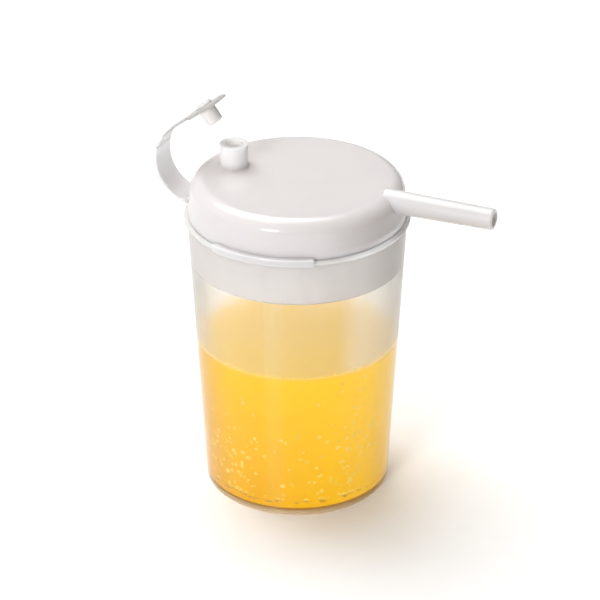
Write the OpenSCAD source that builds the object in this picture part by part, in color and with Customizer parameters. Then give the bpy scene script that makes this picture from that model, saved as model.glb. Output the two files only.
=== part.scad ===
// Controlled-flow drinking cup: a tapered tumbler with a push-in domed lid.
// The lid carries a drinking spout, an air vent tube and a strap with a stopper for the vent.
// Closing the vent keeps air out of the cup, so the drink stops flowing from the spout.
// Millimetres. The origin is the middle of the base, Z is up and the spout points along +X.

/* [Tumbler] */
// Height of the tumbler from the table to the top of its rim
cup_h = 99.2; // [80:0.1:125]
// Outer diameter of the tapered wall at the foot
base_d = 62.2; // [58:0.1:66]
// Outer diameter of the tapered wall just under the rim
mouth_d = 73.1; // [71:0.1:74]
// Thickness of the tumbler wall
cup_wall = 1.2; // [0.8:0.1:1.8]
// Thickness of the tumbler floor
floor_t = 2.4; // [1.6:0.1:4]
// Outer radius where the wall turns into the base
base_round = 2; // [1:0.1:2.4]
// Inner radius where the wall meets the floor
floor_round = 2.5; // [1:0.1:5]
// How far the rolled rim stands out from the wall
rim_out = 1; // [0.6:0.1:1.3]
// Height of the rolled rim
rim_h = 1.5; // [1.2:0.1:2]
// Width of the foot ring that touches the table
foot_ring_w = 2.4; // [1.5:0.1:4]
// Depth of the recess under the floor, inside the foot ring
foot_recess_h = 0.8; // [0.4:0.1:1.2]

/* [Lid] */
// Height of the flat lid top above the tumbler rim
dome_h = 13.1; // [12:0.1:16]
// Width of the ledge at the foot of the lid wall that rests on the rim
foot_rest = 0.9; // [0.3:0.1:1.2]
// How far the lid wall leans in from its foot to the shoulder
dome_lean = 0.55; // [0:0.05:1.5]
// Radius of the rounded shoulder
shoulder_r = 5; // [3:0.1:7]
// Thickness of the lid wall and top
lid_wall = 1.3; // [1:0.1:1.6]
// Depth of the skirt that pushes into the mouth
skirt_h = 16.5; // [10:0.1:22]
// Thickness of the skirt
skirt_t = 1.1; // [0.8:0.1:1.4]
// Gap between the skirt and the tapered wall of the mouth
skirt_gap = 0.2; // [0.1:0.05:0.3]

/* [Thumb lip] */
// Direction of the middle of the lip, in degrees from the spout
lip_angle = -86; // [-120:1:-60]
// Angle that the lip covers round the rim
lip_span = 54; // [30:1:80]
// Thickness of the lip outside the rolled rim
lip_t = 0.7; // [0.6:0.1:1.2]
// Height of the lip above the rim
lip_rise = 1.2; // [0.9:0.1:2]
// Gap between the lip and the rolled rim
lip_gap = 0.15; // [0.1:0.05:0.4]

/* [Vent tube] */
// Distance of the vent tube from the middle of the lid
vent_x = 22.8; // [18:0.1:24]
// Outer diameter of the vent tube
vent_d = 9.5; // [8.6:0.1:11]
// Bore of the vent tube
vent_bore_d = 6.2; // [5.4:0.1:6.6]
// Height of the vent tube above the lid top
vent_h = 8; // [7.6:0.1:10]
// Fillet radius at the foot of the vent tube
vent_fillet = 0.8; // [0.4:0.1:1.5]

/* [Spout] */
// Distance from the middle of the lid to the tip of the spout
spout_reach = 69; // [58:0.5:90]
// Distance from the middle of the lid to the ridge of the spout
spout_start = 31.5; // [30.5:0.5:32.5]
// Distance from the middle of the lid to the open inner end of the spout bore
bore_start = 30.5; // [29:0.5:30.5]
// Depth of the spout axis below the lid top
spout_drop = 2.7; // [2.4:0.1:3.2]
// Outer diameter of the spout where it leaves the lid
spout_root_d = 7.8; // [7.5:0.1:8.6]
// Outer diameter of the spout at its tip
spout_tip_d = 7; // [6.4:0.1:7.6]
// Bore of the spout
spout_bore_d = 4.6; // [3.5:0.1:5]
// Radius of the rounded tip edge
spout_tip_round = 0.8; // [0.3:0.1:1]
// Length of the rounded ridge that fades the spout into the lid top
spout_fade = 1.5; // [1:0.5:4]

/* [Strap] */
// Width of the strap
strap_w = 11; // [9:0.5:12]
// Thickness of the strap
strap_t = 0.8; // [0.7:0.1:1]
// Width of the strap where it meets the stopper
neck_w = 3; // [2.5:0.5:6]
// Radius of the first bend, next to the lid
root_bend_r = 6; // [4:0.5:10]
// Angle of the first bend
root_bend_a = 25; // [15:1:35]
// Radius of the long outer bend
outer_bend_r = 14.3; // [12:0.1:16]
// Radius of the bend that turns back over the lid
top_bend_r = 13.7; // [11:0.1:15]
// Length over which the strap narrows to its neck
neck_taper_len = 5.5; // [3:0.5:7]
// Length of the straight neck
neck_len = 5.7; // [4:0.05:8]
// Height of the strap root above the lower edge of the lip
root_rise = 0.65; // [0.5:0.05:0.8]
// How far the strap root stands out past the lip
pad_out = 0.1; // [0.05:0.05:0.3]
// How much wider the strap root is than the strap
pad_extra_w = 1; // [0.4:0.2:2]

/* [Stopper] */
// Angle between the open stopper and the lid top
stopper_tilt = 37.5; // [30:0.5:55]
// Length of the stopper flap
flap_len = 14.4; // [12:0.1:18]
// Width of the stopper flap
flap_w = 8; // [7:0.1:11]
// Radius of the corners of the flap
flap_corner_r = 3; // [1:0.1:3.4]
// Thickness of the stopper flap
flap_t = 1.2; // [0.9:0.1:1.5]
// Diameter of the button on the flap
boss_d = 5.6; // [4:0.1:8]
// Height of the button on the flap
boss_h = 1.1; // [0.6:0.1:1.5]
// Length of the plug under the flap
plug_len = 5.5; // [3.5:0.1:5.6]
// Gap between the plug and the vent bore, all round
plug_gap = 0.1; // [0.05:0.01:0.2]
// How much the plug diameter shrinks towards its end
plug_taper = 0.5; // [0.1:0.1:0.8]
// Rounding of the plug end
plug_round = 0.5; // [0.2:0.1:0.8]
// Width of the finger tab
tab_w = 4; // [3:0.5:6]
// Distance that the finger tab reaches past the flap
tab_reach = 1.5; // [0.5:0.1:4]
// Length of the stub that carries the flap at the end of the strap
stub_len = 1; // [0.6:0.1:2]

/* [Hidden] */
$fn = 128;
eps = 0.01;

// Tumbler: the wall is a straight taper between the base and the rim
base_r = base_d / 2;
mouth_r = mouth_d / 2;
rim_r = mouth_r + rim_out;
rim_round = rim_h * 0.4;
foot_r = base_r - base_round;
recess_r = foot_r - foot_ring_w;
function cup_r(z) = base_r + (mouth_r - base_r) * z / cup_h;
function cup_inner_r(z) = cup_r(z) - cup_wall;

// Lid: its ledge lies on the rim, its skirt hangs in the mouth
lid_top_z = cup_h + dome_h;
foot_z = cup_h;
lid_foot_r = mouth_r - cup_wall + foot_rest;
shoulder_z = lid_top_z - shoulder_r;
lid_wall_top_r = lid_foot_r - dome_lean;
skirt_bottom_z = cup_h - skirt_h;
skirt_round = skirt_t * 0.4;
function skirt_r(z) = cup_inner_r(z) - skirt_gap;

// The lip and the strap root hook over the rolled rim
lip_in_r = rim_r + lip_gap;
lip_out_r = lip_in_r + lip_t;
lip_round = lip_t * 0.5;
lip_bottom_z = cup_h - rim_h * 0.75;
lip_top_z = cup_h + lip_rise;
lip_side_top_z = lip_top_z - lip_round;
lip_root_r = lid_foot_r - lid_wall / 2;

// Spout
spout_z = lid_top_z - spout_drop;
spout_root_x = lid_wall_top_r;
root_r = spout_root_d / 2;
tip_r = spout_tip_d / 2;
tip_x = spout_reach - spout_tip_round;

// Strap: a chain of bends in the plane of the spout, measured outwards from the cup axis
pad_r = lip_out_r + pad_out;
pad_w = strap_w + pad_extra_w;
pad_clearance = 2 * lip_gap;
hook_span = 20;
root_z = lip_bottom_z + root_rise;
root_p = [pad_r, root_z];
top_heading = 180 - stopper_tilt;
root_c = root_p + [0, root_bend_r];
root_end = root_c + root_bend_r * [sin(root_bend_a), -cos(root_bend_a)];
outer_c = root_end + outer_bend_r * [-sin(root_bend_a), cos(root_bend_a)];
outer_end = outer_c + [outer_bend_r, 0];
top_c = outer_end - [top_bend_r, 0];
top_end = top_c + top_bend_r * [sin(top_heading), -cos(top_heading)];
neck_dir = [cos(top_heading), sin(top_heading)];
neck_end = top_end + neck_len * neck_dir;

// Stopper: the flap lies in line with the end of the strap
flap_c = neck_end + (stub_len + flap_len / 2) * neck_dir;
boss_round = boss_h * 0.4;
plug_d = vent_bore_d - 2 * plug_gap;
plug_end_d = plug_d - plug_taper;
bend_steps = 10;
heading_step = 3;

// A rectangle with rounded corners, centred, made of exact arcs
module rounded_rect(w, h, r) {
    square([w, h - 2 * r], center = true);
    square([w - 2 * r, h], center = true);
    for (x = [-1, 1])
        for (y = [-1, 1])
            translate([x * (w / 2 - r), y * (h / 2 - r)])
                circle(r, $fn = 32);
}

// The wall, rim and floor of the tumbler, turned round the axis
module tumbler() {
    color("ghostwhite", 0.5)
        difference() {
            rotate_extrude() {
                cup_outline();
                rim_outline();
            }
            rotate_extrude()
                cup_hollow();
            foot_recess();
        }
}

// Half outline of the tumbler without its hollow, with a round edge at the base
module cup_outline() {
    polygon([
        [0, 0],
        [foot_r, 0],
        [foot_r, base_round],
        [cup_r(base_round), base_round],
        [cup_r(cup_h), cup_h],
        [0, cup_h]
    ]);
    intersection() {
        translate([cup_r(base_round) - base_round, base_round])
            circle(base_round);
        square([cup_r(base_round), base_round]);
    }
    square([cup_r(base_round) - base_round, base_round]);
}

// The rolled rim, rounded outside and flat on top where the lid sits
module rim_outline() {
    translate([mouth_r - cup_wall, cup_h - rim_h])
        square([cup_wall + rim_out - rim_round, rim_h]);
    translate([mouth_r - cup_wall, cup_h - rim_h + rim_round])
        square([cup_wall + rim_out, rim_h - 2 * rim_round]);
    for (z = [cup_h - rim_round, cup_h - rim_h + rim_round])
        translate([rim_r - rim_round, z])
            circle(rim_round, $fn = 48);
}

// Half outline of the space inside the tumbler, with a round corner at the floor
module cup_hollow() {
    corner_r = cup_inner_r(floor_t + floor_round);
    polygon([
        [0, floor_t + floor_round],
        [corner_r, floor_t + floor_round],
        [cup_inner_r(cup_h + eps), cup_h + eps],
        [0, cup_h + eps]
    ]);
    translate([0, floor_t])
        square([corner_r - floor_round, floor_round + eps]);
    intersection() {
        translate([corner_r - floor_round, floor_t + floor_round])
            circle(floor_round);
        translate([0, floor_t])
            square([corner_r, floor_round + eps]);
    }
}

// The shallow recess under the floor leaves a foot ring
module foot_recess() {
    translate([0, 0, -eps])
        cylinder(r1 = recess_r, r2 = recess_r - foot_recess_h, h = foot_recess_h + eps);
}

// The lid is one moulding: dome, skirt, spout, vent tube, thumb lip and strap root
module lid() {
    color("white")
        difference() {
            union() {
                rotate_extrude()
                    lid_shell();
                vent_tube();
                spout_tube();
                thumb_lip();
                strap_root();
            }
            vent_bore();
            spout_bore();
        }
}

// Half outline of the dome and the skirt as one shell
module lid_shell() {
    difference() {
        dome_outline(0);
        dome_outline(lid_wall);
    }
    skirt_outline();
}

// Half outline of the dome, drawn in by an inset on its top and wall
module dome_outline(inset) {
    top = lid_top_z - inset;
    wall_top = lid_wall_top_r - inset;
    wall_foot = (inset == 0) ? lid_foot_r : skirt_r(foot_z) - skirt_t;
    round_r = shoulder_r - inset;
    polygon([
        [0, foot_z - (inset == 0 ? 0 : eps)],
        [wall_foot, foot_z - (inset == 0 ? 0 : eps)],
        [wall_top, shoulder_z],
        [0, shoulder_z]
    ]);
    translate([0, shoulder_z - eps])
        square([wall_top - round_r, top - shoulder_z + eps]);
    intersection() {
        translate([wall_top - round_r, shoulder_z])
            circle(round_r);
        translate([0, shoulder_z - eps])
            square([wall_top, round_r + 2 * eps]);
    }
}

// Half outline of the skirt, which follows the taper of the mouth
module skirt_outline() {
    low = skirt_bottom_z + skirt_round;
    polygon([
        [skirt_r(low), low],
        [skirt_r(foot_z), foot_z],
        [skirt_r(foot_z), foot_z + lid_wall],
        [skirt_r(foot_z) - skirt_t, foot_z + lid_wall],
        [skirt_r(foot_z) - skirt_t, foot_z],
        [skirt_r(low) - skirt_t, low]
    ]);
    translate([skirt_r(low) - skirt_t + skirt_round, skirt_bottom_z])
        square([skirt_t - 2 * skirt_round, skirt_round]);
    for (x = [skirt_round, skirt_t - skirt_round])
        translate([skirt_r(low) - skirt_t + x, low])
            intersection() {
                circle(skirt_round, $fn = 32);
                translate([-skirt_round, -skirt_round])
                    square([2 * skirt_round, skirt_round]);
            }
}

// The upright vent tube, with a fillet where it rises from the lid top
module vent_tube() {
    translate([-vent_x, 0, lid_top_z - lid_wall / 2])
        cylinder(d = vent_d, h = vent_h + lid_wall / 2);
    translate([-vent_x, 0, lid_top_z])
        rotate_extrude()
            difference() {
                translate([vent_d / 2 - eps, -eps])
                    square([vent_fillet + eps, vent_fillet + eps]);
                translate([vent_d / 2 + vent_fillet, vent_fillet])
                    circle(vent_fillet, $fn = 64);
            }
}

// The bore goes through the tube and the lid top
module vent_bore() {
    translate([-vent_x, 0, lid_top_z - lid_wall - eps])
        cylinder(d = vent_bore_d, h = vent_h + lid_wall + 2 * eps);
}

// The tapered spout, turned round its own axis, and the ridge that fades it into the lid top
module spout_tube() {
    along_spout()
        rotate_extrude()
            spout_outline();
    intersection() {
        along_spout()
            rotate_extrude()
                spout_nose_outline();
        translate([0, -spout_root_d, lid_top_z - lid_wall])
            cube([spout_start + eps, 2 * spout_root_d, spout_root_d]);
    }
}

// Turns Z into the direction of the spout
module along_spout() {
    translate([0, 0, spout_z])
        rotate([0, 90, 0])
            children();
}

// Half outline of the spout: distance from its axis, and distance out from the cup axis
module spout_outline() {
    polygon([
        [0, spout_start],
        [root_r, spout_start],
        [root_r, spout_root_x],
        [tip_r, tip_x],
        [0, tip_x]
    ]);
    translate([0, tip_x - eps])
        square([tip_r - spout_tip_round, spout_tip_round + eps]);
    translate([tip_r - spout_tip_round, tip_x])
        intersection() {
            circle(spout_tip_round, $fn = 48);
            translate([0, -eps])
                square([spout_tip_round, spout_tip_round + eps]);
        }
}

// Half outline of the ridge, a quarter of an ellipse
module spout_nose_outline() {
    polygon([
        [0, spout_start + eps],
        for (a = [0:7.5:90])
            [root_r * cos(a), spout_start + eps - spout_fade * sin(a)]
    ]);
}

// The bore runs from the tip to the open inside of the lid
module spout_bore() {
    along_spout()
        translate([0, 0, bore_start])
            cylinder(d = spout_bore_d, h = spout_reach - bore_start + eps);
}

// Half outline of the hook over the rolled rim
module rim_hook() {
    polygon([
        [lip_root_r, cup_h],
        [lip_in_r, cup_h],
        [lip_in_r, lip_bottom_z],
        [lip_out_r, lip_bottom_z],
        [lip_out_r, lip_side_top_z],
        [lip_out_r - lip_round, lip_side_top_z],
        [lip_out_r - lip_round, lip_top_z],
        [lip_root_r, lip_top_z]
    ]);
    translate([lip_out_r - lip_round, lip_side_top_z])
        circle(lip_round, $fn = 48);
}

// The thumb lip, which lifts the lid out of the mouth
module thumb_lip() {
    rotate([0, 0, lip_angle - lip_span / 2])
        rotate_extrude(angle = lip_span)
            rim_hook();
}

// A short hook with a flat pad, where the strap leaves the lid
module strap_root() {
    intersection() {
        rotate([0, 0, 180 - hook_span / 2])
            rotate_extrude(angle = hook_span)
                rim_hook();
        translate([-lip_out_r - 1, -pad_w / 2, 0])
            cube([lip_out_r, pad_w, lid_top_z]);
    }
    translate([-pad_r, -pad_w / 2, lip_bottom_z])
        cube([pad_r - lip_in_r - pad_clearance, pad_w, lip_side_top_z - lip_bottom_z]);
}

// The strap: a ribbon of three bends and a straight end that narrows to the stopper
module strap() {
    color("white")
        difference() {
            mirror([1, 0, 0])
                rotate([90, 0, 0])
                    linear_extrude(strap_w, center = true)
                        polygon(concat(
                            strap_side(strap_t / 2),
                            reverse(strap_side(-strap_t / 2))
                        ));
            neck_cut();
            mirror([0, 1, 0])
                neck_cut();
        }
}

// Points of one bend, from one heading to another, at a distance from its centre
function bend_side(centre, radius, from, to) =
    [for (i = [0:bend_steps]) let (h = from + (to - from) * i / bend_steps)
        centre + radius * [sin(h), -cos(h)]];

// One side of the ribbon, offset from its middle line; a bend starts where the last one ends
function strap_side(offset) = concat(
    bend_side(root_c, root_bend_r + offset, 0, root_bend_a),
    bend_side(outer_c, outer_bend_r + offset, root_bend_a + heading_step, 90),
    bend_side(top_c, top_bend_r + offset, 90 + heading_step, top_heading),
    [neck_end + offset * [sin(top_heading), -cos(top_heading)]]
);

function reverse(points) = [for (i = [len(points) - 1:-1:0]) points[i]];

// Moves its children into the frame of the strap end: X along the strap, Z to its outer side
module at_strap_end(p) {
    translate([-p[0], 0, p[1]])
        rotate([0, -stopper_tilt, 0])
            children();
}

// What one side of the neck loses, so that the strap narrows towards the stopper
module neck_cut() {
    at_strap_end(top_end)
        translate([0, 0, -4 * strap_t])
            linear_extrude(6 * strap_t)
                polygon([
                    [-neck_taper_len, strap_w / 2],
                    [0, neck_w / 2],
                    [neck_len + strap_t, neck_w / 2],
                    [neck_len + strap_t, strap_w],
                    [-neck_taper_len, strap_w]
                ]);
}

// The stopper: flap, button, plug, stub and finger tab
module stopper() {
    color("white")
        at_strap_end(flap_c) {
            linear_extrude(flap_t, center = true)
                rounded_rect(flap_len, flap_w, flap_corner_r);
            rotate_extrude()
                plug_outline();
            stopper_ends();
        }
}

// Half outline of the button above the flap and the plug below it
module plug_outline() {
    square([boss_d / 2 - boss_round, flap_t / 2 + boss_h]);
    square([boss_d / 2, flap_t / 2 + boss_h - boss_round]);
    translate([boss_d / 2 - boss_round, flap_t / 2 + boss_h - boss_round])
        circle(boss_round, $fn = 32);
    translate([0, -flap_t / 2])
        polygon([
            [0, flap_t / 2],
            [plug_d / 2, flap_t / 2],
            [plug_d / 2, 0],
            [plug_end_d / 2, -plug_len + plug_round],
            [plug_end_d / 2 - plug_round, -plug_len],
            [0, -plug_len]
        ]);
}

// The stub towards the strap and the round finger tab on the far side
module stopper_ends() {
    translate([-flap_len / 2 - stub_len, -neck_w / 2, -strap_t / 2])
        cube([flap_corner_r + stub_len, neck_w, strap_t]);
    linear_extrude(strap_t, center = true) {
        translate([flap_len / 2 + tab_reach - tab_w / 2, 0])
            circle(d = tab_w);
        translate([flap_len / 2 - flap_corner_r, -tab_w / 2])
            square([flap_corner_r + tab_reach - tab_w / 2, tab_w]);
    }
}

tumbler();
lid();
strap();
stopper();
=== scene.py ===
import math
import random

import bmesh
import bpy
from mathutils import Matrix, Vector


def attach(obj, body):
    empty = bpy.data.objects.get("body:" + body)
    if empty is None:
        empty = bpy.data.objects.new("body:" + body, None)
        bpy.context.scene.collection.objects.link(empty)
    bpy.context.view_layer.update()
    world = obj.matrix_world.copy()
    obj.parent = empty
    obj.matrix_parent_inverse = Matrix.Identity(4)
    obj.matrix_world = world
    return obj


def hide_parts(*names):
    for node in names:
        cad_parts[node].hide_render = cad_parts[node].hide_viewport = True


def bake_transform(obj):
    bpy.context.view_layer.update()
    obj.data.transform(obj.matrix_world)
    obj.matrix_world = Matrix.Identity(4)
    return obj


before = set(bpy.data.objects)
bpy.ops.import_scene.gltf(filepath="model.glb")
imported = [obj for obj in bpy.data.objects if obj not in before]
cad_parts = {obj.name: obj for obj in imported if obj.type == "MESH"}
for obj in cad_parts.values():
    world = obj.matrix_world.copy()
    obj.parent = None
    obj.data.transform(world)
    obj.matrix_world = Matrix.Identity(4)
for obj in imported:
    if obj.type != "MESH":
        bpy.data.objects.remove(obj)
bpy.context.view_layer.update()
MM = 0.001


# Camera. It stands where the photo was taken from: above the cup's height, with the spout
# pointing to the right. It is far off and uses a long lens, so the rims stay flat.
CAMERA_AZIMUTH = math.radians(-67)
CAMERA_DISTANCE = 900 * MM
CAMERA_HEIGHT = 534.9 * MM
AIM_HEIGHT = 66.4 * MM
AIM_SIDE = 0.88 * MM
LENS_LENGTH = 180.9
SENSOR_WIDTH = 36
to_camera = Vector((math.cos(CAMERA_AZIMUTH), math.sin(CAMERA_AZIMUTH), 0))
to_right = Vector((-to_camera.y, to_camera.x, 0))

camera = bpy.data.objects.new("camera", bpy.data.cameras.new("camera"))
bpy.context.scene.collection.objects.link(camera)
bpy.context.scene.camera = camera
camera.data.lens = LENS_LENGTH
camera.data.sensor_width = SENSOR_WIDTH
camera.location = to_camera * CAMERA_DISTANCE + Vector((0, 0, CAMERA_HEIGHT)) + to_right * AIM_SIDE
aim = Vector((0, 0, AIM_HEIGHT)) + to_right * AIM_SIDE
camera.rotation_euler = (aim - camera.location).to_track_quat("-Z", "Y").to_euler()


# Light. A large soft box overhead, a little behind the cup, and a small one low in front on
# the left. The white surround is brightest in front too, as in a studio with one open side.
def soft_box(name, power, size, right, toward, up):
    """A square lamp aimed at the cup; its place is seen from the camera, in metres."""
    light = bpy.data.lights.new(name, "AREA")
    light.energy = power
    light.size = size
    box = bpy.data.objects.new(name, light)
    bpy.context.scene.collection.objects.link(box)
    box.location = to_right * right + to_camera * toward + Vector((0, 0, up))
    box.rotation_euler = (aim - box.location).to_track_quat("-Z", "Y").to_euler()


SURROUND_DARKEST = 0.1
SURROUND_BRIGHTEST = 0.78
open_side = to_camera * 0.95 - to_right * 0.3

soft_box("top_light", power=28.0, size=1.3, right=-0.32, toward=-0.5, up=1.5)
soft_box("front_light", power=5.8, size=0.26, right=-0.52, toward=1.0, up=0.48)
world = bpy.data.worlds.new("studio")
bpy.context.scene.world = world
world.use_nodes = True
surround = world.node_tree
direction = surround.nodes.new("ShaderNodeTexCoord")
openward = surround.nodes.new("ShaderNodeVectorMath")
openward.operation = "DOT_PRODUCT"
openward.inputs[1].default_value = open_side
fade = surround.nodes.new("ShaderNodeMapRange")
fade.inputs["To Min"].default_value = SURROUND_DARKEST
fade.inputs["To Max"].default_value = SURROUND_BRIGHTEST
surround.links.new(direction.outputs["Generated"], openward.inputs[0])
surround.links.new(openward.outputs["Value"], fade.inputs[0])
surround.links.new(fade.outputs[0], surround.nodes["Background"].inputs["Strength"])
surround.nodes["Background"].inputs["Color"].default_value = (1, 1, 1, 1)
bpy.context.scene.view_settings.view_transform = "Standard"


# Floor. One plain sheet of matt pale card, laid flat under the cup. It has a faint fibre in it
# and takes the cup's soft shadow.
class Wire:
    """A shader socket that takes + - * and ** in Python."""

    def __init__(self, paint, socket):
        self.paint = paint
        self.socket = socket

    def math(self, operation, first, second):
        return self.paint.add("Math", {"operation": operation}, {0: first, 1: second})

    def __add__(self, other):
        return self.math("ADD", self, other)

    def __sub__(self, other):
        return self.math("SUBTRACT", self, other)

    def __rsub__(self, other):
        return self.math("SUBTRACT", other, self)

    def __mul__(self, other):
        return self.math("MULTIPLY", self, other)

    def __pow__(self, other):
        return self.math("POWER", self, other)

    __radd__ = __add__
    __rmul__ = __mul__


class Paint:
    """One material, whose shader's plain numbers are given by name."""

    def __init__(self, name, numbers):
        self.material = bpy.data.materials.new(name)
        self.material.use_nodes = True
        self.tree = self.material.node_tree
        self.shader = self.tree.nodes["Principled BSDF"]
        self.surface = Wire(self, self.shader.outputs[0])
        for socket, value in numbers.items():
            self.feed(self.shader, socket, value)

    def feed(self, node, socket, value):
        """Links a wire to a socket, or sets the socket to a plain value."""
        if isinstance(value, Wire):
            self.tree.links.new(value.socket, node.inputs[socket])
        else:
            node.inputs[socket].default_value = value

    def add(self, kind, settings, sockets, out=0):
        """Adds a node and gives one of its outputs."""
        node = self.tree.nodes.new("ShaderNode" + kind)
        for name, value in settings.items():
            setattr(node, name, value)
        for socket, value in sockets.items():
            self.feed(node, socket, value)
        return Wire(self, node.outputs[out])

    def place(self):
        """The place on the piece itself, so a pattern stays put when the piece moves."""
        return self.add("TexCoord", {}, {}, out="Object")

    def along(self, axis):
        """The place along one of the object's axes, in metres."""
        return self.add("SeparateXYZ", {}, {0: self.place()}, out=axis)

    def noise(self, per_metre, detail, rough=0.5, stretch=(1, 1, 1)):
        """Random clouds. A stretch above 1 packs them closer along that axis."""
        spot = self.add("VectorMath", {"operation": "MULTIPLY"}, {0: self.place(), 1: stretch})
        sockets = {"Vector": spot, "Scale": per_metre, "Detail": detail, "Roughness": rough}
        return self.add("TexNoise", {}, sockets)

    def limit(self, value, low, high):
        """0 at low, 1 at high, and even in between."""
        return self.add("MapRange", {"clamp": True}, {0: value, 1: low, 2: high})

    def mix(self, mask, first, second):
        return self.add("Mix", {"data_type": "RGBA"}, {0: mask, 6: first, 7: second}, out=2)

    def bump(self, height, depth, strength):
        """Dents the surface by a height pattern, as deep as depth in metres."""
        sockets = {"Strength": strength, "Distance": depth, "Height": height}
        self.feed(self.shader, "Normal", self.add("Bump", {}, sockets))

    def cover(self, share, coat):
        """Lays a second shader over the first one, by a share of it."""
        self.surface = self.add("MixShader", {}, {0: share, 1: self.surface, 2: coat})
        self.feed(self.tree.nodes["Material Output"], "Surface", self.surface)

    def wear_on(self, piece):
        piece.data.materials.clear()
        piece.data.materials.append(self.material)


def finish_mesh(name, mesh, material):
    """Turns a bmesh into a smooth-shaded piece."""
    sharp_from = math.radians(35)
    bmesh.ops.recalc_face_normals(mesh, faces=mesh.faces)
    data = bpy.data.meshes.new(name)
    mesh.to_mesh(data)
    mesh.free()
    piece = bpy.data.objects.new(name, data)
    bpy.context.scene.collection.objects.link(piece)
    data.shade_smooth()
    data.set_sharp_from_angle(angle=sharp_from)
    material.wear_on(piece)
    return piece


FLOOR_SIZE = 4
# Noise keeps mostly between these two values, so they give it its full contrast.
CLOUD_RANGE = (0.3, 0.7)
CARD_DARK = (0.97, 0.97, 0.97, 1)
CARD_LIGHT = (0.99, 0.99, 0.99, 1)
card = Paint("pale_card", {"Roughness": 0.9, "Specular IOR Level": 0.1})
fibre = card.limit(card.noise(per_metre=90, detail=4), *CLOUD_RANGE)
card.feed(card.shader, "Base Color", card.mix(fibre, CARD_DARK, CARD_LIGHT))
floor_mesh = bmesh.new()
bmesh.ops.create_grid(floor_mesh, x_segments=1, y_segments=1, size=FLOOR_SIZE)
floor = finish_mesh("floor", floor_mesh, card)


# Tumbler. Injection moulded in natural polypropylene. Where the drink wets the wall it looks
# clear, and above the drink it looks milky. The rolled rim and the foot are thicker and whiter.
# The lid's skirt is pressed into the mouth, so there the wall is drawn right against the skirt.
CUP_HEIGHT = 99.2
BASE_RADIUS = 31.1
MOUTH_RADIUS = 36.55
CUP_WALL = 1.2
CUP_FLOOR = 2.4
FLOOR_ROUND = 2.5
BASE_ROUND = 2.0
RING_WIDTH = 2.4
RECESS = 0.8
FLOOR_MIDDLE = 12
RIM_RADIUS = 37.55
RIM_HEIGHT = 1.5
RIM_ROUND = 0.6
SKIRT_BOTTOM = 82.7
SKIRT_PRESS = 0.27
SKIRT_STEP = 0.2
STEP_GUARD = 0.3
# Heights of the rings that divide the straight wall, up the outside and down the inside.
OUTER_RINGS = range(8, 97, 8)
SKIRT_RINGS = (94, 88)
INNER_RINGS = (72, 60, 48, 36, 24, 12)
ARC_STEPS = 8
ROUND_STEPS = 128


def wall_radius(z):
    """Outer radius of the tapered wall at a height."""
    return BASE_RADIUS + (MOUTH_RADIUS - BASE_RADIUS) * z / CUP_HEIGHT


def arc(middle, level, radius, first, last):
    """Points of an arc round (middle, level), its angles in degrees from the outward side."""
    shares = [step / ARC_STEPS for step in range(ARC_STEPS + 1)]
    turns = [math.radians(first + (last - first) * share) for share in shares]
    return [(middle + radius * math.cos(turn), level + radius * math.sin(turn)) for turn in turns]


def spun(name, outline, material):
    """Turns an outline, given as (radius, height) in millimetres, round the cup's axis."""
    mesh = bmesh.new()
    points = [mesh.verts.new((r * MM, 0, z * MM)) for r, z in outline]
    edges = [mesh.edges.new(pair) for pair in zip(points, points[1:])]
    bmesh.ops.spin(
        mesh, geom=points + edges, cent=(0, 0, 0), axis=(0, 0, 1), angle=math.tau,
        steps=ROUND_STEPS, use_merge=True, use_duplicate=False,
    )
    bmesh.ops.remove_doubles(mesh, verts=mesh.verts, dist=0.001 * MM)
    return finish_mesh(name, mesh, material)


# The outline runs from the middle of the underside out, up the wall, over the rim and back in.
# The inner wall steps out just above the skirt's end, and a ring under the step keeps it crisp.
foot_radius = BASE_RADIUS - BASE_ROUND
recess_radius = foot_radius - RING_WIDTH
rim_middle = RIM_RADIUS - RIM_ROUND
rim_bottom = CUP_HEIGHT - RIM_HEIGHT
floor_corner = CUP_FLOOR + FLOOR_ROUND
corner_middle = wall_radius(floor_corner) - CUP_WALL - FLOOR_ROUND
cup_outline = [(0, RECESS), (FLOOR_MIDDLE, RECESS), (recess_radius - RECESS, RECESS)]
cup_outline += [(recess_radius, 0), (foot_radius, 0)]
cup_outline += arc(wall_radius(BASE_ROUND) - BASE_ROUND, BASE_ROUND, BASE_ROUND, -90, 0)[1:]
cup_outline += [(wall_radius(z), z) for z in OUTER_RINGS]
cup_outline.append((wall_radius(rim_bottom), rim_bottom))
cup_outline += arc(rim_middle, rim_bottom + RIM_ROUND, RIM_ROUND, -90, 0)
cup_outline += arc(rim_middle, CUP_HEIGHT - RIM_ROUND, RIM_ROUND, 0, 90)
for z in (CUP_HEIGHT, *SKIRT_RINGS, SKIRT_BOTTOM + SKIRT_STEP):
    cup_outline.append((wall_radius(z) - CUP_WALL - SKIRT_PRESS, z))
for z in (SKIRT_BOTTOM, SKIRT_BOTTOM - STEP_GUARD, *INNER_RINGS):
    cup_outline.append((wall_radius(z) - CUP_WALL, z))
cup_outline += arc(corner_middle, floor_corner, FLOOR_ROUND, 0, -90)
cup_outline += [(FLOOR_MIDDLE, CUP_FLOOR), (0, CUP_FLOOR)]

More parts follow.
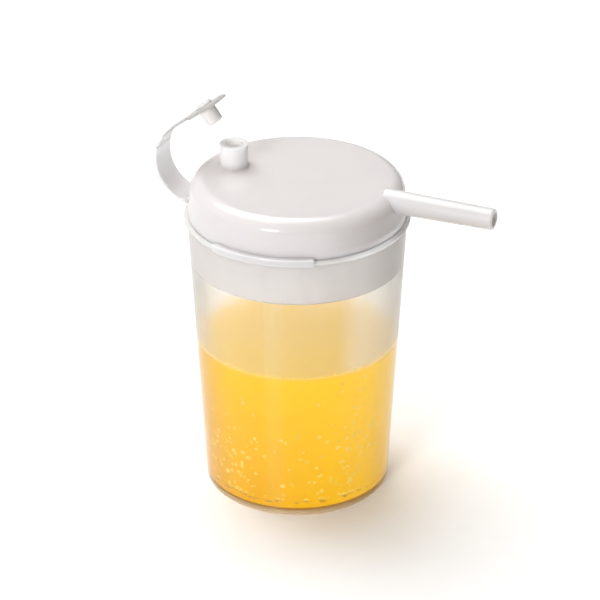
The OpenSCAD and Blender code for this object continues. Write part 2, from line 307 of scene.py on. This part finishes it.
# Heights between which the wall's look changes, and its colours; several of them are painted light
# and shade.
FOOT_LINE = (1.2 * MM, 3.0 * MM)
WET_LINE = (52.5 * MM, 56.5 * MM)
JUICE_LIGHT_LINE = (54 * MM, 84 * MM)
RIM_SHADOW_LINE = (95.8 * MM, 97.6 * MM)
RIM_LINE = (97.2 * MM, 98.2 * MM)
CLOUDY = (0.965, 0.965, 0.95, 1)
CLEAREST = (0.985, 0.985, 0.975, 1)
RIM_SHADOW_COLOUR = (0.74, 0.72, 0.7, 1)
SEEN_EDGE_ON = (0.5, 0.48, 0.45, 1)
LIT_BY_JUICE = (0.83, 0.68, 0.38, 1)
MILKY = (0.78, 0.78, 0.76, 1)
FOOT_JUICE_GLOW = (0.84, 0.72, 0.55, 1)
LIGHT_PATCH_WHITE = (0.98, 0.97, 0.96, 1)
SHADOW_CLEAR = (0.95, 0.95, 0.94, 1)
WALL_RIPPLE = 0.05 * MM
# How far the wall is turned away from the eye, from 0 to 1, where its edge starts and is full.
EDGE_ON = (0.4, 0.95)
TINT_EDGE_ON = (0.38, 0.9)
# Roughness of the wet wall, and what dryness and haze add to it.
WET_ROUGHNESS = 0.07
DRY_ROUGHNESS = 0.14
HAZE_ROUGHNESS = 0.03
RIM_SHADOW_SHARE = 0.8
# Shares of white that are laid over the clear wall.
DRY_MILK = 0.07
HAZE_MILK = 0.03
EDGE_MILK = 0.03
RIM_MILK = 0.6
FOOT_MILK = 0.4
# The next three shares lay the painted streaks of reflected light.
NARROW_HIGHLIGHT_MILK = 0.05
WIDE_PATCH_MILK = 0.05
DRY_PATCH_MILK = 0.09
MILK_ROUGHNESS = 0.35

frosted = Paint("frosted_polypropylene", {
    "IOR": 1.49, "Specular IOR Level": 0.2, "Transmission Weight": 1.0,
})
up = frosted.along("Z")
haze = frosted.limit(frosted.noise(per_metre=60, detail=3), *CLOUD_RANGE)
dry = frosted.limit(up, *WET_LINE)
rim = frosted.limit(up, *RIM_LINE)
foot = 1 - frosted.limit(up, *FOOT_LINE)
turned = frosted.add("LayerWeight", {}, {"Blend": 0.5}, out="Facing")
edge = frosted.limit(turned, *EDGE_ON)
cloud = frosted.mix(haze, CLOUDY, CLEAREST)
# Painted shadow: the wall just under the rim is drawn darker, as the rim's shade.
rim_shadow = frosted.limit(up, *RIM_SHADOW_LINE) * (1 - rim)
cloud = frosted.mix(rim_shadow * RIM_SHADOW_SHARE, cloud, RIM_SHADOW_COLOUR)
# Darker where the wall is seen edge-on: partly the longer path through the plastic, partly painted
# shade along the cup's edges.
cloud = frosted.mix(frosted.limit(turned, *TINT_EDGE_ON), cloud, SEEN_EDGE_ON)
frosted.feed(frosted.shader, "Base Color", cloud)
roughness = dry * DRY_ROUGHNESS + haze * HAZE_ROUGHNESS + WET_ROUGHNESS
frosted.feed(frosted.shader, "Roughness", roughness)
ripple = frosted.noise(per_metre=45, detail=1, stretch=(1, 1, 0.2))
frosted.bump(ripple, WALL_RIPPLE, strength=0.4)


def painted_light_streak(azimuth, core, reach):
    """A painted pale streak of light up the wall: its middle, half width and faded half width in
    degrees.
    """
    turn = frosted.add(
        "Math", {"operation": "ARCTAN2"}, {0: frosted.along("Y"), 1: frosted.along("X")}
    )
    off = frosted.add("Math", {"operation": "ABSOLUTE"}, {0: turn - math.radians(azimuth)})
    return 1 - frosted.add(
        "MapRange", {"interpolation_type": "SMOOTHSTEP"},
        {0: off, 1: math.radians(core), 2: math.radians(reach)},
    )


# Two painted streaks of reflected light up the wall: a narrow highlight and a wide pale patch.
narrow_highlight = painted_light_streak(azimuth=-80.5, core=2.5, reach=7)
wide_light_patch = painted_light_streak(azimuth=-22, core=8, reach=26)
painted_streaks = narrow_highlight * NARROW_HIGHLIGHT_MILK + wide_light_patch * (dry * DRY_PATCH_MILK + WIDE_PATCH_MILK)
# Painted light: near the juice the milky wall takes the juice's orange glow, fading to plain milky
# white higher up.
glow = frosted.mix(frosted.limit(up, *JUICE_LIGHT_LINE), LIT_BY_JUICE, MILKY)
# Painted light and shade on the foot: the juice's colour and its shadow as seen through the thick
# plastic.
glow = frosted.mix(foot, glow, FOOT_JUICE_GLOW)
# Painted light: the wide patch makes the milk whiter above the juice.
glow = frosted.mix(wide_light_patch * dry, glow, LIGHT_PATCH_WHITE)
milk = frosted.add("BsdfPrincipled", {}, {"Base Color": glow, "Roughness": MILK_ROUGHNESS})
milkiness = dry * (haze * HAZE_MILK + DRY_MILK) + edge * EDGE_MILK + rim * RIM_MILK
milkiness = milkiness + painted_streaks + foot * FOOT_MILK
frosted.cover(milkiness, milk)
clear = frosted.add("BsdfTransparent", {}, {0: SHADOW_CLEAR})
frosted.cover(frosted.add("LightPath", {}, {}, out="Is Shadow Ray"), clear)
tumbler = spun("frosted_tumbler", cup_outline, frosted)
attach(tumbler, "tumbler")
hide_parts("tumbler")


# Drink. Orange juice fills the tumbler to a little over half. It isn't part of the cup, but it
# stands in it in the picture: cloudy, with pulp, and with a raised edge where it wets the wall.
# It reaches a hair into the wall, so that no air shows between the two.
JUICE_OVERLAP = 0.04
JUICE_LEVEL = 54.0
MENISCUS = 0.4
MENISCUS_WIDTH = 2.6
SIDE_STEPS = 12
MENISCUS_STEPS = 8
TOP_RINGS = (24, 16, 8, 0)


def juice_radius(z):
    """Radius of the juice at a height."""
    return wall_radius(z) - CUP_WALL + JUICE_OVERLAP


round_size = FLOOR_ROUND + JUICE_OVERLAP
outline = [(0, CUP_FLOOR - JUICE_OVERLAP)]
outline += arc(juice_radius(floor_corner) - round_size, floor_corner, round_size, -90, 0)
for step in range(1, SIDE_STEPS + 1):
    z = floor_corner + (JUICE_LEVEL + MENISCUS - floor_corner) * step / SIDE_STEPS
    outline.append((juice_radius(z), z))
for step in range(1, MENISCUS_STEPS + 1):
    inward = MENISCUS_WIDTH * step / MENISCUS_STEPS
    rise = MENISCUS * (1 - step / MENISCUS_STEPS) ** 2
    outline.append((juice_radius(JUICE_LEVEL + rise) - inward, JUICE_LEVEL + rise))
outline += [(r, JUICE_LEVEL) for r in TOP_RINGS]

# Lines in the juice, its own tints, and a painted glow in place of the light coming through it
# from behind.
BOTTOM_LINE = (2.6 * MM, 3.4 * MM)
SIDE_LINE = (4 * MM, 52 * MM)
LIT_LINE = (4 * MM, 50 * MM)
TOP_FROM = (53.5 * MM, 54 * MM)
TOP_TO = (54.1 * MM, 54.5 * MM)
AWAY_FROM_SPOUT = (-12 * MM, -32 * MM)
TOWARDS_SPOUT = (0.0, 30 * MM)
JUICE_LOW = (0.22, 0.1, 0.001, 1)
JUICE_HIGH = (0.25, 0.14, 0.001, 1)
PULP_STRANDS = (0.3, 0.19, 0.005, 1)
LIT_LOW = (0.7, 0.35, 0.0, 1)
LIT_HIGH = (0.78, 0.46, 0.0, 1)
LIT_AWAY = (0.62, 0.3, 0.0, 1)
LIT_TOWARDS = (0.88, 0.55, 0.0, 1)
LIT_BOTTOM = (0.3, 0.15, 0.003, 1)
LIT_TOP = (0.72, 0.46, 0.06, 1)
PULP_GRAIN = 0.1 * MM
STRAND_RANGE = (0.42, 0.75)
STRAND_SHARE = 0.5
AWAY_SHARE = 0.6
TOWARDS_SHARE = 0.5
WET_TOP_COAT = 0.8

pulp = Paint("orange_juice", {
    "Roughness": 0.3, "Specular IOR Level": 0.05, "Coat Roughness": 0.12, "Subsurface Weight": 0.6,
    "Subsurface Scale": 0.012, "Subsurface Radius": (1.0, 0.6, 0.05), "Emission Strength": 1.0,
})
height = pulp.along("Z")
east = pulp.along("X")
# The juice's colour is darker towards the bottom.
darker_towards_bottom = pulp.mix(pulp.limit(height, *SIDE_LINE), JUICE_LOW, JUICE_HIGH)
strands = pulp.limit(pulp.noise(per_metre=170, detail=5, rough=0.6), *STRAND_RANGE)
body = pulp.mix(strands * STRAND_SHARE, darker_towards_bottom, PULP_STRANDS)
pulp.feed(pulp.shader, "Base Color", body)
top = pulp.limit(height, *TOP_FROM) * (1 - pulp.limit(height, *TOP_TO))
# Painted glow: brighter towards the spout side, dimmer away from it, darker at the bottom, and
# light on top.
painted_glow = pulp.mix(pulp.limit(height, *LIT_LINE), LIT_LOW, LIT_HIGH)
painted_glow = pulp.mix(pulp.limit(east, *AWAY_FROM_SPOUT) * AWAY_SHARE, painted_glow, LIT_AWAY)
painted_glow = pulp.mix(pulp.limit(east, *TOWARDS_SPOUT) * TOWARDS_SHARE, painted_glow, LIT_TOWARDS)
painted_glow = pulp.mix(pulp.limit(height, *BOTTOM_LINE), LIT_BOTTOM, painted_glow)
pulp.feed(pulp.shader, "Emission Color", pulp.mix(top, painted_glow, LIT_TOP))
pulp.feed(pulp.shader, "Coat Weight", top * WET_TOP_COAT)
pulp.bump(pulp.noise(per_metre=500, detail=2), PULP_GRAIN, strength=0.3)
juice = spun("juice", outline, pulp)
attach(juice, "tumbler")


# Bubbles. Small bubbles cling to the wall, mostly low down and at the two sides. A row of flat
# ones lies round the bottom, and a froth stands round the edge of the juice and on its top.
DASH_LINE = (5.8 * MM, 6.4 * MM)
BUBBLE_DARK = (0.24, 0.16, 0.02, 1)
BUBBLE_LIGHT = (0.3, 0.21, 0.06, 1)
DASH = (0.3, 0.15, 0.02, 1)
BUBBLE_LIT_DARK = (0.7, 0.42, 0.02, 1)
BUBBLE_LIT_LIGHT = (0.74, 0.48, 0.06, 1)
DASH_LIT = (0.34, 0.15, 0.02, 1)
# How many there are of each kind, the smallest and largest size, and the place of each.
CLUSTER_SIZES = (0.35, 1.05)
LOWEST, HIGHEST = 6.5, 51
DASH_COUNT = 60
DASH_SIZES = (0.4, 0.9)
DASH_HEIGHTS = (5.1, 5.4)
EDGE_FROTH_COUNT = 170
EDGE_FROTH_SIZES = (0.25, 0.75)
EDGE_FROTH_DROPS = (-0.3, 0.7)
TOP_FROTH_COUNT = 60
TOP_FROTH_SIZES = (0.3, 0.8)
TOP_FROTH_RADII = (6, 29)
# How far a bubble is sunk in the juice and how deep it is, and its length and height by size.
SUNK = 0.1
FLATTENED = 0.16
CLUSTER_TALL = 1.1
DASH_LONG = 1.3
DASH_TALL = 0.5
TOP_FROTH_TALL = 0.6
BUBBLE_RANGE = (0.35, 0.65)
# Azimuth and its spread in degrees, height and its spread in millimetres, and the number.
CLUSTERS = [
    (-22, 16, 26, 14, 90), (-40, 14, 12, 8, 40), (-112, 14, 14, 9, 60), (-67, 60, 20, 12, 50),
    (113, 90, 22, 14, 90),
]

froth = Paint("juice_bubble", {
    "Roughness": 0.4, "Specular IOR Level": 0.1, "Emission Strength": 1.0,
})
low = froth.limit(froth.along("Z"), *DASH_LINE)
tint = froth.limit(froth.noise(per_metre=300, detail=1), *BUBBLE_RANGE)
pale = froth.mix(tint, BUBBLE_DARK, BUBBLE_LIGHT)
froth.feed(froth.shader, "Base Color", froth.mix(low, DASH, pale))
# Painted glow: the bubbles' emission stands in for the light coming through the juice.
bubble_glow = froth.mix(tint, BUBBLE_LIT_DARK, BUBBLE_LIT_LIGHT)
froth.feed(froth.shader, "Emission Color", froth.mix(low, DASH_LIT, bubble_glow))
bubbles = bmesh.new()


def any_azimuth():
    """A random direction from the cup's axis, in degrees."""
    return random.uniform(-180, 180)


def add_bubble(azimuth, radius, z, wide, high, deep):
    """A bubble flattened against the wall: half width, half height and half depth."""
    place = (
        Matrix.Rotation(math.radians(azimuth), 4, "Z")
        @ Matrix.Translation(Vector((radius, 0, z)) * MM)
        @ Matrix.Diagonal((deep * MM, wide * MM, high * MM, 1))
    )
    bmesh.ops.create_icosphere(bubbles, subdivisions=2, radius=1, matrix=place)


random.seed(7)
for middle, spread, level, tall, count in CLUSTERS:
    for _ in range(count):
        z = min(max(random.gauss(level, tall), LOWEST), HIGHEST)
        size = random.uniform(*CLUSTER_SIZES)
        azimuth = random.gauss(middle, spread)
        add_bubble(azimuth, juice_radius(z) - SUNK, z, size, size * CLUSTER_TALL, FLATTENED)
for _ in range(DASH_COUNT):
    size = random.uniform(*DASH_SIZES)
    z = random.uniform(*DASH_HEIGHTS)
    long, tall = size * DASH_LONG, size * DASH_TALL
    add_bubble(any_azimuth(), juice_radius(z) - SUNK, z, long, tall, FLATTENED)
for _ in range(EDGE_FROTH_COUNT):
    size = random.uniform(*EDGE_FROTH_SIZES)
    z = JUICE_LEVEL + MENISCUS - random.uniform(*EDGE_FROTH_DROPS)
    add_bubble(any_azimuth(), juice_radius(z) - size, z, size, size, size)
for _ in range(TOP_FROTH_COUNT):
    size = random.uniform(*TOP_FROTH_SIZES)
    azimuth = any_azimuth()
    radius = random.uniform(*TOP_FROTH_RADII)
    add_bubble(azimuth, radius, JUICE_LEVEL, size, size * TOP_FROTH_TALL, size)
bubble_piece = finish_mesh("bubbles", bubbles, froth)
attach(bubble_piece, "tumbler")


# Lid. One moulding in white polypropylene with a satin shine: dome, skirt, spout, vent tube,
# thumb lip and strap root. The surface has the faint ripple of a polished steel mould.
MOULD_RIPPLE = 0.06 * MM
FINE_RIPPLE_SHARE = 0.05
GRAIN_ROUGHNESS = 0.06
SCUFF_ROUGHNESS = 0.12
SCUFF_RANGE = (0.55, 0.8)


def white_plastic(name, light, dark, rough):
    """Cloudy white plastic with fine scuffs; parts of it can take painted light and shade."""
    paint = Paint(name, {
        "Specular IOR Level": 0.38, "Subsurface Weight": 0.8, "Subsurface Scale": 0.004,
        "Subsurface Radius": (1, 0.95, 0.9),
    })
    flow = paint.noise(per_metre=28, detail=3, stretch=(1, 1, 2))
    paint.colour = paint.mix(paint.limit(flow, *CLOUD_RANGE), dark, light)
    paint.feed(paint.shader, "Base Color", paint.colour)
    scuffs = paint.noise(per_metre=260, detail=5, rough=0.7, stretch=(1, 0.35, 1))
    scuffs = paint.limit(scuffs, *SCUFF_RANGE)
    grain = paint.noise(per_metre=700, detail=2)
    roughness = grain * GRAIN_ROUGHNESS + scuffs * SCUFF_ROUGHNESS + rough
    paint.feed(paint.shader, "Roughness", roughness)
    ripple = paint.noise(per_metre=55, detail=1)
    ripple = ripple + paint.noise(per_metre=1400, detail=2) * FINE_RIPPLE_SHARE
    paint.bump(ripple, MOULD_RIPPLE, strength=0.6)
    return paint


def paint_light_and_shade(paint, mask, colour):
    """Lays painted light or shade on a part of a moulding, as a colour of its own."""
    paint.colour = paint.mix(mask, paint.colour, colour)
    paint.feed(paint.shader, "Base Color", paint.colour)


# The vent's place, and the stretches over which painted light and shade change the lid's colour.
VENT_X = 22.8 * MM
VENT_BORE = 3.2 * MM
BORE_FADE = 0.3 * MM
SPOUT_LINE = (36 * MM, 42 * MM)
VENT_LINE = (112.6 * MM, 114.8 * MM)
SPOUT_SIDE = (20 * MM, 34 * MM)
CLOSE_TO_SPOUT = (-18 * MM, -6 * MM)
LEDGE_FROM = (98.5 * MM, 99 * MM)
LEDGE_TO = (100.8 * MM, 102 * MM)
WALL_FROM = (100 * MM, 102 * MM)
WALL_TO = (108 * MM, 110.5 * MM)
LID_LIGHT = (0.69, 0.66, 0.667, 1)
LID_DARK = (0.66, 0.635, 0.643, 1)
SPOUT_PAINTED_SHADE = (0.66, 0.63, 0.62, 1)
VENT_PAINTED_LIGHT = (0.85, 0.83, 0.83, 1)
BORE_PAINTED_LIGHT = (0.97, 0.95, 0.94, 1)
LEDGE_PAINTED_REFLECTION = (0.98, 0.98, 1.0, 1)
UNDER_SPOUT_PAINTED_SHADE = (0.45, 0.42, 0.41, 1)
UNDER_SPOUT_SHADE_SHARE = 0.6

lid_white = white_plastic("lid_white", LID_LIGHT, LID_DARK, rough=0.14)
across = lid_white.along("X")
aside = lid_white.along("Y")
above = lid_white.along("Z")
# Painted shade on the spout, painted light on the vent tube and in its bore, a painted reflection
# on the ledge beside the spout, and painted shade on the wall above that ledge.
paint_light_and_shade(lid_white, lid_white.limit(across, *SPOUT_LINE), SPOUT_PAINTED_SHADE)
paint_light_and_shade(lid_white, lid_white.limit(above, *VENT_LINE), VENT_PAINTED_LIGHT)
from_vent = ((across + VENT_X) ** 2 + aside ** 2) ** 0.5
in_bore = 1 - lid_white.limit(from_vent, VENT_BORE, VENT_BORE + BORE_FADE)
paint_light_and_shade(lid_white, in_bore, BORE_PAINTED_LIGHT)
beside_spout = lid_white.limit(across, *SPOUT_SIDE)
on_ledge = lid_white.limit(above, *LEDGE_FROM) * (1 - lid_white.limit(above, *LEDGE_TO))
near_spout = lid_white.limit(aside, *CLOSE_TO_SPOUT)
paint_light_and_shade(lid_white, beside_spout * on_ledge * near_spout, LEDGE_PAINTED_REFLECTION)
over_ledge = lid_white.limit(above, *WALL_FROM) * (1 - lid_white.limit(above, *WALL_TO))
paint_light_and_shade(lid_white, beside_spout * over_ledge * UNDER_SPOUT_SHADE_SHARE, UNDER_SPOUT_PAINTED_SHADE)
lid_white.wear_on(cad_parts["lid"])


# Strap. A thin band of the lid's own plastic that grows out of the lid's foot, curls outwards
# and back over the lid, and narrows to a neck. It bends whenever the stopper is moved; here it
# is drawn at rest, in two lengths: the curl and the neck.
STRAP_WIDTH = 11.0
STRAP_THICK = 0.8
NECK_WIDTH = 3.0
NECK_TAPER = 9.0
NECK_LENGTH = 5.7
ROOT = Vector((38.5, 98.725))
# Radius of each arc, and the band's heading at its two ends in degrees.
BENDS = [(6.0, 0, 25), (14.3, 25, 90), (13.7, 90, 142.5)]
SPLIT = 0.62
CURL_ROWS = 52
NECK_ROWS = 32
COLUMNS = 12
bend_lengths = [radius * math.radians(last - first) for radius, first, last in BENDS]
strap_length = sum(bend_lengths) + NECK_LENGTH


def strap_line(share):
    """Point and heading of the strap's middle line, in radius and height from the cup's axis."""
    left = share * strap_length
    point = ROOT.copy()
    for length, (radius, first, last) in zip(bend_lengths, BENDS):
        heading = math.radians(first + (last - first) * min(left / length, 1))
        start = math.radians(first)
        point += radius * Vector((
            math.sin(heading) - math.sin(start), math.cos(start) - math.cos(heading)
        ))
        left -= length
        if left <= 0:
            return point, heading
    return point + left * Vector((math.cos(heading), math.sin(heading))), heading


def strap_place(share):
    """The same point in the frame, in metres. The strap stands on the -X side."""
    point, _ = strap_line(share)
    return (-point.x * MM, 0, point.y * MM)


def strap_width(share):
    """Full width along the curl, then a smooth narrowing to the neck."""
    to_neck = (1 - share) * strap_length - NECK_LENGTH
    part = min(max(to_neck / NECK_TAPER, 0), 1)
    return NECK_WIDTH + (STRAP_WIDTH - NECK_WIDTH) * math.sin(part * math.pi / 2)


def strap_piece(name, first, last, rows, material):
    """A flat grid, bent along the strap's line from one share of its length to another."""
    mesh = bmesh.new()
    bmesh.ops.create_grid(mesh, x_segments=rows, y_segments=COLUMNS, size=0.5)
    for vert in mesh.verts:
        share = first + (last - first) * (vert.co.x + 0.5)
        point, heading = strap_line(share)
        sideways = vert.co.y * strap_width(share)
        point = point + STRAP_THICK / 2 * Vector((math.sin(heading), -math.cos(heading)))
        vert.co = Vector((-point.x, sideways, point.y)) * MM
    bmesh.ops.recalc_face_normals(mesh, faces=mesh.faces)
    faces_out = sum(face.normal.x for face in mesh.faces) < 0
    thickness = STRAP_THICK * MM if faces_out else -STRAP_THICK * MM
    bmesh.ops.solidify(mesh, geom=mesh.faces, thickness=thickness)
    return finish_mesh(name, mesh, material)


CURL_LINE = (102 * MM, 114 * MM)
NECK_LINE = (114.5 * MM, 120.5 * MM)
STRAP_LIGHT = (0.66, 0.65, 0.655, 1)
STRAP_DARK = (0.63, 0.62, 0.63, 1)
CURL_PAINTED_LIGHT = (0.95, 0.945, 0.97, 1)
NECK_PAINTED_SHADE = (0.4, 0.39, 0.395, 1)
strap_white = white_plastic("strap_white", STRAP_LIGHT, STRAP_DARK, rough=0.27)
strap_up = strap_white.along("Z")
# Painted light on the curl's upper part and painted shade on the neck.
paint_light_and_shade(strap_white, strap_white.limit(strap_up, *CURL_LINE), CURL_PAINTED_LIGHT)
paint_light_and_shade(strap_white, strap_white.limit(strap_up, *NECK_LINE), NECK_PAINTED_SHADE)
curl = strap_piece("strap_curl", 0, SPLIT, CURL_ROWS, strap_white)
neck = strap_piece("strap_neck", SPLIT, 1, NECK_ROWS, strap_white)
strap_place(0)
strap_place(SPLIT)
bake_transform(curl)
strap_place(SPLIT)
strap_place(1)
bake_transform(neck)
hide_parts("strap")
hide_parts("strap")


# Stopper. Flap, button, plug and finger tab in the same white plastic. The plug is pushed
# into the vent tube to keep air out of the cup.
PLUG_TILT = math.radians(37.5)
PLUG_AXIS = (-math.sin(PLUG_TILT), 0, math.cos(PLUG_TILT))
PLUG_TOP = 123.82 * MM
PLUG_FADE = 0.3 * MM
FLAP_THICK = 1.2 * MM
FLAP_TOP = PLUG_TOP + FLAP_THICK
BUTTON_FROM = (FLAP_TOP + 0.05 * MM, FLAP_TOP + 0.15 * MM)
# The flap is drawn much darker than the lid as painted shade; the button and the plug are lighter,
# as painted light.
FLAP_SHADED_LIGHT = (0.4, 0.38, 0.37, 1)
FLAP_SHADED_DARK = (0.37, 0.35, 0.34, 1)
BUTTON_PAINTED_LIGHT = (0.64, 0.62, 0.61, 1)
PLUG_PAINTED_LIGHT = (0.76, 0.735, 0.725, 1)

stopper_white = white_plastic("stopper_white", FLAP_SHADED_LIGHT, FLAP_SHADED_DARK, rough=0.25)
along_plug = stopper_white.add(
    "VectorMath", {"operation": "DOT_PRODUCT"}, {0: stopper_white.place(), 1: PLUG_AXIS}, out=1
)
paint_light_and_shade(stopper_white, stopper_white.limit(along_plug, *BUTTON_FROM), BUTTON_PAINTED_LIGHT)
on_plug = 1 - stopper_white.limit(along_plug, PLUG_TOP - PLUG_FADE, PLUG_TOP)
paint_light_and_shade(stopper_white, on_plug, PLUG_PAINTED_LIGHT)
stopper_white.wear_on(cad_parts["stopper"])
